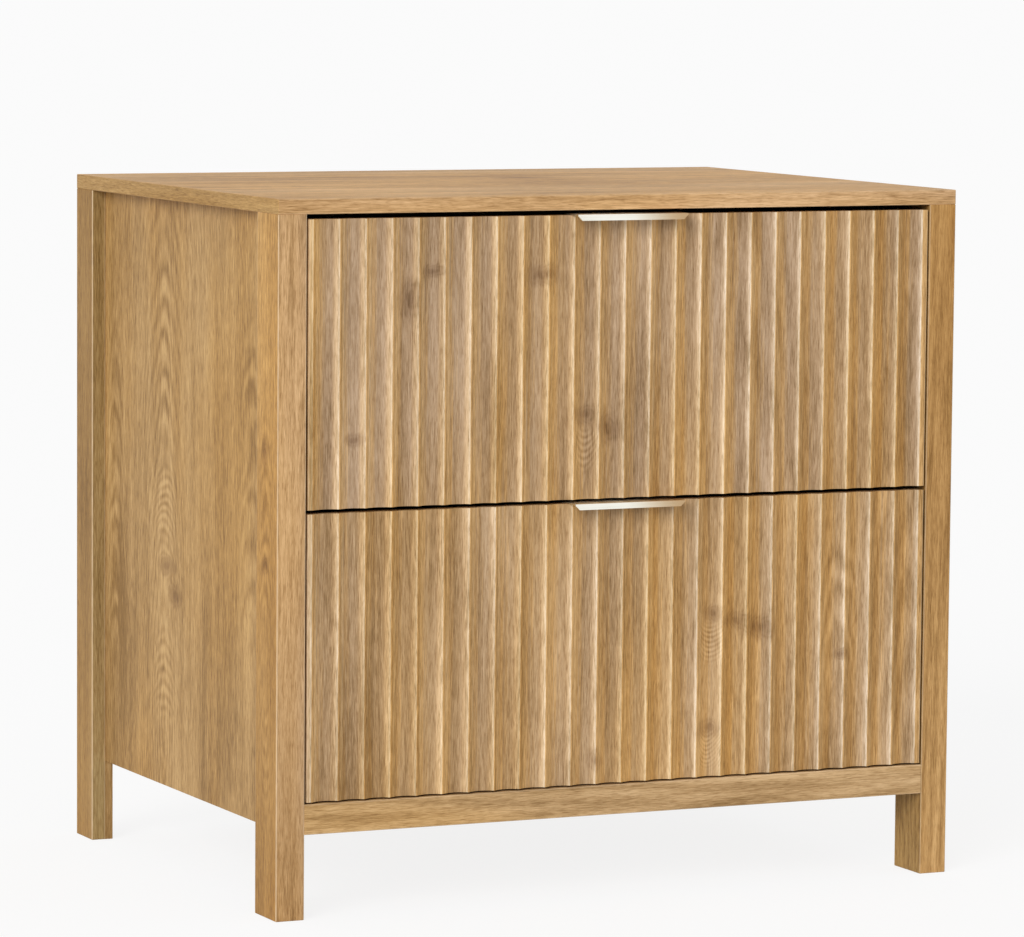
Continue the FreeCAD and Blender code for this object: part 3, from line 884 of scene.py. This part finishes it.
def metal(name, tone, lumps, rough, dull, relief, ends=None):
    """Plated or brushed metal. lumps are its lines per metre along x, y and z, dull how cloudy it is.

    ends gives the places along x over which a painted reflection fades, and the factors of its pale and its
    darker side.
    """
    material, finish = new_finish(name)
    point, places = finish.place()
    lines = finish.noise(point, lumps, 3.0, detail=3.0)
    bloom = finish.noise(point, (BLOOM_RATE,) * 3, 7.0, detail=3.0)
    share = lines * LINE_SHARE + bloom * (1.0 - LINE_SHARE)
    colour = finish.ramp(share, tone, DARK_METAL, PALE_METAL, SKIN_STOPS)
    if ends:
        # Painted reflection: paler towards the left, as if mirroring a bright room, and a darker gold further
        # along x.
        start, end, bright_tint, dull_tint = ends
        dull_share = (places[0] + (bloom - 0.5) * REFLECTION_EDGE_WAVE).rise(start, end)
        colour = finish.tint(1.0 - dull_share, finish.tint(dull_share, colour, dull_tint), bright_tint)
    finish.surface({
        "Base Color": colour,
        "Metallic": 1.0,
        "Roughness": rough + lines * LINE_ROUGHNESS + bloom * dull,
        "Normal": finish.bump(lines, relief, LINE_DEPTH),
    })
    return material


print("metals are ready")

# %% [markdown]
# ## Which metal goes where
# The finishes differ in the direction of their lines, and in how rough and how cloudy they are. Both pulls
# lie at the same place along x, so one painted reflection serves both, pale at their left and a darker gold
# at their right.

# %% Dress the metal parts
# The pulls' painted reflection: where it starts to fade, and the factors of its pale and its darker side.
REFLECTION_FADE_START = 55.0 * MILLIMETRE
PAINTED_REFLECTION_TINT = (1.12, 1.34, 1.85)
REFLECTION_FADED_TINT = (0.66, 0.55, 0.46)
pull_low, pull_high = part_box("upper_pull")
pull_painted_reflection = (pull_low[0] + REFLECTION_FADE_START, pull_high[0], PAINTED_REFLECTION_TINT, REFLECTION_FADED_TINT)
brass = metal("brushed_brass", (0.84, 0.69, 0.45), (12.0, 2600.0, 2600.0), rough=0.22, dull=0.08,
              relief=0.20, ends=pull_painted_reflection)
dress([level + "_pull" for level in LEVELS], brass)
zinc = metal("zinc_plate", (0.62, 0.63, 0.64), (300.0, 30.0, 300.0), rough=0.26, dull=0.16, relief=0.10)
runners = []
for level in LEVELS:
    for kind in ("_cabinet_runner_", "_middle_runner_", "_drawer_runner_"):
        runners += [level + kind + side for side in SIDES]
dress(runners, zinc)
cast = metal("cast_zinc", (0.58, 0.58, 0.57), (700.0,) * 3, rough=0.36, dull=0.14, relief=0.25)
dress(["carcass_cams"] + [level + "_drawer_cams" for level in LEVELS], cast)
bright = metal("bright_screw_zinc", (0.64, 0.64, 0.63), (500.0,) * 3, rough=0.24, dull=0.10, relief=0.15)
dress([level + "_pull_screws" for level in LEVELS], bright)
print("metal on", len(runners), "runner channels, the pulls, cams and screws")

# %% [markdown]
# ## Enamel and plastic
# Enamel and moulded plastic are dark skins with a fine even texture. They differ in how rough they are and
# how fine the texture is, so one function makes both.

# %% Enamel and plastic
DARK_SKIN = (0.8, 0.8, 0.8)
PALE_SKIN = (1.35, 1.35, 1.35)
SKIN_BLOOM_RATE = 28.0
GRIT_ROUGHNESS = 0.14
BLOOM_ROUGHNESS = 0.08
GRIT_BUMP = 0.25
GRIT_DEPTH = 0.06 * MILLIMETRE


def moulded(name, tone, rough, lumps):
    """A dark skin with a fine even texture: enamel or moulded plastic."""
    material, finish = new_finish(name)
    point = finish.place()[0]
    grit = finish.noise(point, (lumps,) * 3, 2.0, detail=2.0)
    bloom = finish.noise(point, (SKIN_BLOOM_RATE,) * 3, 4.0)
    finish.surface({
        "Base Color": finish.ramp(grit * 0.5 + bloom * 0.5, tone, DARK_SKIN, PALE_SKIN, SKIN_STOPS),
        "Roughness": rough + grit * GRIT_ROUGHNESS + bloom * BLOOM_ROUGHNESS,
        "Normal": finish.bump(grit, GRIT_BUMP, GRIT_DEPTH),
    })
    return material


enamel = moulded("black_enamel", (0.030, 0.030, 0.032), rough=0.22, lumps=1500.0)
plastic = moulded("moulded_black", (0.045, 0.045, 0.047), rough=0.42, lumps=2400.0)
for level in LEVELS:
    dress([level + "_file_bar_front", level + "_file_bar_rear"], enamel)
    dress([level + "_bar_clips", level + "_outer_ball_cages", level + "_inner_ball_cages"], plastic)
print("enamel on the file bars, plastic on clips and cages")

# %% [markdown]
# ## Small fittings
# Cam discs, screws and nails are small, but they tell how the cabinet goes together, and they show when a
# drawer is open or from behind. The frame says where each one sits: the loose bodies of a node are sorted
# into islands, and each island's box gives its centre and its axis.

# %% Find the islands of a node
def islands(node):
    """The boxes of a node's separate bodies, as lowest and highest corners."""
    mesh = bmesh.new()
    mesh.from_mesh(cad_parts[node].data)
    bmesh.ops.remove_doubles(mesh, verts=mesh.verts[:], dist=0.01 * MILLIMETRE)
    waiting = set(mesh.verts)
    boxes = []
    while waiting:
        reached = [waiting.pop()]
        for vertex in reached:
            for edge in vertex.link_edges:
                other = edge.other_vert(vertex)
                if other in waiting:
                    waiting.remove(other)
                    reached.append(other)
        low = Vector([min(vertex.co[number] for vertex in reached) for number in range(3)])
        high = Vector([max(vertex.co[number] for vertex in reached) for number in range(3)])
        boxes.append((low, high))
    mesh.free()
    return boxes


print("carcass cams:", len(islands("carcass_cams")))

# %% [markdown]
# ## A disc with a driver's cross
# Cams and screws share one shape, a disc with a cross in it. A grid of nine cells gives the cross: the
# middle row and column are pushed in, and the grid's outline is bridged to a circle for the rim.

# %% Model a cross-headed disc
RIM_SEGMENTS = 24


def cross_head(mesh, radius, height, slot_share, slot_depth, crown):
    """A disc on z = 0 with a driver's cross in its top, which is lower at the rim by the crown."""
    half = radius * slot_share
    top = bmesh.ops.create_grid(mesh, x_segments=3, y_segments=3, size=half)["verts"]
    bmesh.ops.translate(mesh, verts=top, vec=(0, 0, height))
    cells = list({face for vertex in top for face in vertex.link_faces})
    centres = [face.calc_center_median() for face in cells]
    cross = [face for face, centre in zip(cells, centres) if min(abs(centre.x), abs(centre.y)) < half / 6]
    outline = [edge for edge in {edge for face in cells for edge in face.edges} if len(edge.link_faces) == 1]
    pushed = bmesh.ops.extrude_face_region(mesh, geom=cross)["geom"]
    bmesh.ops.delete(mesh, geom=cross, context="FACES_ONLY")
    sunk = [item for item in pushed if isinstance(item, bmesh.types.BMVert)]
    bmesh.ops.translate(mesh, verts=sunk, vec=(0, 0, -slot_depth))
    rim = bmesh.ops.create_circle(mesh, radius=radius, segments=RIM_SEGMENTS)["verts"]
    bmesh.ops.translate(mesh, verts=rim, vec=(0, 0, height - crown))
    rim_edges = list({edge for vertex in rim for edge in vertex.link_edges})
    bmesh.ops.bridge_loops(mesh, edges=outline + rim_edges)
    wall = bmesh.ops.extrude_edge_only(mesh, edges=rim_edges)["geom"]
    foot = [item for item in wall if isinstance(item, bmesh.types.BMVert)]
    bmesh.ops.translate(mesh, verts=foot, vec=(0, 0, crown - height))
    bmesh.ops.contextual_create(mesh, geom=[item for item in wall if isinstance(item, bmesh.types.BMEdge)])


def heads(name, places, material, **measures):
    """One piece of several equal heads. Each place is a foot on its seat and the way its head faces."""
    whole = bmesh.new()
    for foot, facing in places:
        single = bmesh.new()
        cross_head(single, **measures)
        turned = facing.to_track_quat("Z", "Y").to_matrix().to_4x4()
        bmesh.ops.transform(single, matrix=Matrix.Translation(foot) @ turned, verts=single.verts[:])
        bmesh.ops.recalc_face_normals(single, faces=single.faces[:])
        part = bpy.data.meshes.new(name + "_one")
        single.to_mesh(part)
        single.free()
        whole.from_mesh(part)
        bpy.data.meshes.remove(part)
    return finished_piece(name, whole, material)


print("cross-headed discs are ready")

# %% [markdown]
# ## Cams
# A cam disc lies level with its board and faces into the cabinet: on the posts and the drawers' sides
# towards the middle, on the rail to the rear, on the rear stretchers to the front, on the drawers' backs to
# the rear.

# %% Place the cams
CAM_SLOT_DEPTH = 2.0 * MILLIMETRE
CAM_SLOT_SHARE = 0.55
CAM_CROWN = 0.3 * MILLIMETRE
CAM_NODES = (
    ("carcass_cams", "cabinet", True),
    ("upper_drawer_cams", "upper_drawer", False),
    ("lower_drawer_cams", "lower_drawer", False),
)


def cam_places(node, rear_faces_front):
    """Foot and facing of every cam disc of a node."""
    places = []
    for low, high in islands(node):
        size = high - low
        middle = (low + high) / 2
        axis = max(range(2), key=lambda number: abs(size[number] - size[2]))
        facing = Vector((0.0, 0.0, 0.0))
        if axis == 0:
            facing.x = -math.copysign(1.0, middle.x)
        else:
            facing.y = -1.0 if rear_faces_front and middle.y > 0.0 else 1.0
        places.append((middle - facing * size[axis] / 2, facing, size[axis], size[2] / 2))
    return places


for node, body, rear_faces_front in CAM_NODES:
    found = cam_places(node, rear_faces_front)
    height, radius = found[0][2], found[0][3]
    cams = heads(node.replace("_cams", "_cam_discs"), [place[:2] for place in found], cast, radius=radius,
                 height=height, slot_share=CAM_SLOT_SHARE, slot_depth=CAM_SLOT_DEPTH, crown=CAM_CROWN)
    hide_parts(node)
    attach(cams, body)
    print(cams.name, len(found), "discs of", round(2 * radius / MILLIMETRE, 1), "mm")

# %% [markdown]
# ## The pulls' screws
# Each pull is held by two screws from behind. A pan head lies on the front's back, and a plain shank goes
# from there into the board.

# %% Place the pulls' screws
SHANK_RADIUS = 2.0 * MILLIMETRE
SHANK_SEGMENTS = 12
PAN_SLOT_SHARE = 0.5


def shanks(piece, places):
    """Adds each screw's shank to a piece. A place is its two ends, which lie along y."""
    mesh = bmesh.new()
    mesh.from_mesh(piece.data)
    for start, end in places:
        turned = Matrix.Rotation(math.radians(90.0), 4, "X")
        place = Matrix.Translation((start + end) / 2) @ turned
        made = bmesh.ops.create_cone(mesh, cap_ends=True, segments=SHANK_SEGMENTS, radius1=SHANK_RADIUS,
                                     radius2=SHANK_RADIUS, depth=(end - start).length, matrix=place)
        faces = {face for vertex in made["verts"] for face in vertex.link_faces}
        bmesh.ops.recalc_face_normals(mesh, faces=list(faces))
    mesh.to_mesh(piece.data)
    mesh.free()


for level in LEVELS:
    node = level + "_pull_screws"
    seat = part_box(level + "_drawer_front")[1][1]
    feet, rods = [], []
    for low, high in islands(node):
        middle = (low + high) / 2
        foot = Vector((middle.x, seat, middle.z))
        feet.append((foot, Vector((0.0, 1.0, 0.0))))
        rods.append((Vector((middle.x, low.y, middle.z)), foot))
        radius, height = (high.x - low.x) / 2, high.y - seat
    screws = heads(level + "_pan_head_screws", feet, bright, radius=radius, height=height,
                   slot_share=PAN_SLOT_SHARE, slot_depth=height / 2, crown=height / 3)
    shanks(screws, rods)
    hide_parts(node)
    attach(screws, level + "_drawer")
    print(screws.name, len(feet), "heads of", round(2 * radius / MILLIMETRE, 1), "mm")

# %% [markdown]
# ## Runner screws
# Each drawer's runner channel is held by three screws through its web, between the rows of balls. They show
# when the drawer is out.

# %% Place the runner screws
RUNNER_STEEL = 1.2 * MILLIMETRE
RUNNER_SCREW_PLACES = (0.08, 0.5, 0.92)
RUNNER_SCREW = {
    "radius": 3.6 * MILLIMETRE,
    "height": 1.8 * MILLIMETRE,
    "slot_share": 0.5,
    "slot_depth": 1.0 * MILLIMETRE,
    "crown": 0.8 * MILLIMETRE,
}
for level in LEVELS:
    feet = []
    for side, outwards in zip(SIDES, (-1.0, 1.0)):
        low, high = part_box(level + "_drawer_runner_" + side)
        web = (high[0] if outwards < 0.0 else low[0]) + outwards * RUNNER_STEEL
        for share in RUNNER_SCREW_PLACES:
            foot = Vector((web, low[1] + share * (high[1] - low[1]), (low[2] + high[2]) / 2))
            feet.append((foot, Vector((outwards, 0.0, 0.0))))
    screws = heads(level + "_runner_screws", feet, bright, **RUNNER_SCREW)
    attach(screws, level + "_drawer")
    print(screws.name, len(feet))

# %% [markdown]
# ## Back nails
# The back is nailed to the two stretchers, so two rows of flat nail heads lie on it. A short cone makes a
# head with a slightly domed edge.

# %% Place the back's nails
NAIL_RADIUS = 2.6 * MILLIMETRE
NAIL_HEIGHT = 0.9 * MILLIMETRE
NAIL_SPACING = 90.0 * MILLIMETRE
NAIL_SEGMENTS = 14
NAIL_TOP_SHARE = 0.7
mesh = bmesh.new()
back_low, back_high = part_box("back_panel")
nail_count = int((back_high[0] - back_low[0]) / NAIL_SPACING)
step = (back_high[0] - back_low[0]) / nail_count
for rail in ("rear_top_rail", "rear_bottom_rail"):
    rail_low, rail_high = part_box(rail)
    middle = (rail_low[2] + rail_high[2]) / 2
    for number in range(nail_count):
        place = Vector((back_low[0] + (number + 0.5) * step, back_high[1] + NAIL_HEIGHT / 2, middle))
        turned = Matrix.Rotation(math.radians(-90.0), 4, "X")
        bmesh.ops.create_cone(mesh, cap_ends=True, segments=NAIL_SEGMENTS, radius1=NAIL_RADIUS,
                              radius2=NAIL_RADIUS * NAIL_TOP_SHARE, depth=NAIL_HEIGHT,
                              matrix=Matrix.Translation(place) @ turned)
bmesh.ops.recalc_face_normals(mesh, faces=mesh.faces[:])
nails = finished_piece("back_nails", mesh, bright)
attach(nails, "cabinet")
print(nails.name, 2 * nail_count)

# %% [markdown]
# ## The floor
# The cabinet stands on a plain pale floor that runs out into a white room. To the camera and in reflections
# the floor is nearly white by itself and keeps a soft shadow. To every other ray it is an ordinary pale
# surface.

# %% The floor
FLOOR_HALF = 120.0
FLOOR_WHITE = (0.90, 0.90, 0.90, 1.0)
FLOOR_GLOW_SHARE = 0.85


def seen_directly(finish):
    """1 for rays from the camera and for reflections of it."""
    rays = [finish.node("ShaderNodeLightPath", out=kind)
            for kind in ("Is Camera Ray", "Is Glossy Ray", "Is Transmission Ray")]
    return rays[0].most(rays[1]).most(rays[2])


material, finish = new_finish("pale_floor")
plain = finish.node("ShaderNodeBsdfDiffuse", None, {"Color": FLOOR_WHITE})
glow = finish.node("ShaderNodeEmission", None, {"Color": (1.0, 1.0, 1.0, 1.0), "Strength": 1.0})
share = seen_directly(finish) * FLOOR_GLOW_SHARE
finish.end(finish.node("ShaderNodeMixShader", None, {0: share, 1: plain, 2: glow}))
mesh = bmesh.new()
bmesh.ops.create_grid(mesh, x_segments=1, y_segments=1, size=FLOOR_HALF)
floor = finished_piece("floor", mesh, material)
print("floor", 2 * FLOOR_HALF, "m wide")

# %% [markdown]
# ## The room and the lamp
# One broad lamp stands in front on the left, so the left flank of each ridge is bright and the hollows fall
# away from it. The white of the room fills the rest evenly.

# %% The room and the lamp
ROOM_LIGHT = 0.58
LAMP_LIGHT = 0.64 * math.pi
LAMP_SPREAD = math.radians(32.0)
LAMP_FROM = Vector((-0.65, -0.545, 0.37))

world = bpy.data.worlds.new("white_room")
world.use_nodes = True
world.node_tree.nodes.clear()
room = Finish(world.node_tree)
strength = ROOM_LIGHT + seen_directly(room) * (1.0 - ROOM_LIGHT)
sky = room.node("ShaderNodeBackground", None, {"Color": (1.0, 1.0, 1.0, 1.0), "Strength": strength})
room.node("ShaderNodeOutputWorld", None, {"Surface": sky})
bpy.context.scene.world = world

lamp = bpy.data.lights.new("broad_lamp", "SUN")
lamp.energy = LAMP_LIGHT
lamp.angle = LAMP_SPREAD
lamp_object = bpy.data.objects.new("broad_lamp", lamp)
lamp_object.rotation_euler = LAMP_FROM.to_track_quat("Z", "Y").to_euler()
bpy.context.scene.collection.objects.link(lamp_object)
bpy.context.scene.view_settings.view_transform = "Standard"
print("lamp from", [round(value, 2) for value in LAMP_FROM.normalized()])

# %% [markdown]
# ## The camera
# The view is from the front and left, a little above the top, through a long lens, so the upright edges
# stay almost parallel. Its direction is given by three angles, and its place was found from the corners of
# the cabinet.

# %% Set up the camera
CAMERA_PLACE = Vector((-2.4821, -5.3562, 1.0216))
CAMERA_YAW = math.radians(24.891)
CAMERA_PITCH = math.radians(-5.673)
CAMERA_ROLL = math.radians(0.475)
IMAGE_WIDTH = 1024
FOCAL_PIXELS = 5310.5
SENSOR_WIDTH = 36.0

forward = Vector((
    math.sin(CAMERA_YAW) * math.cos(CAMERA_PITCH),
    math.cos(CAMERA_YAW) * math.cos(CAMERA_PITCH),
    math.sin(CAMERA_PITCH),
))
level_right = Vector((math.cos(CAMERA_YAW), -math.sin(CAMERA_YAW), 0.0))
level_up = level_right.cross(forward)
right = level_right * math.cos(CAMERA_ROLL) + level_up * math.sin(CAMERA_ROLL)
up = level_up * math.cos(CAMERA_ROLL) - level_right * math.sin(CAMERA_ROLL)

lens = bpy.data.cameras.new("long_lens")
lens.sensor_fit = "HORIZONTAL"
lens.sensor_width = SENSOR_WIDTH
lens.lens = FOCAL_PIXELS / IMAGE_WIDTH * SENSOR_WIDTH
camera = bpy.data.objects.new("camera", lens)
turned = Matrix((right, up, -forward)).transposed().to_4x4()
camera.matrix_world = Matrix.Translation(CAMERA_PLACE) @ turned
bpy.context.scene.collection.objects.link(camera)
bpy.context.scene.camera = camera
print("lens", round(lens.lens, 1), "mm")
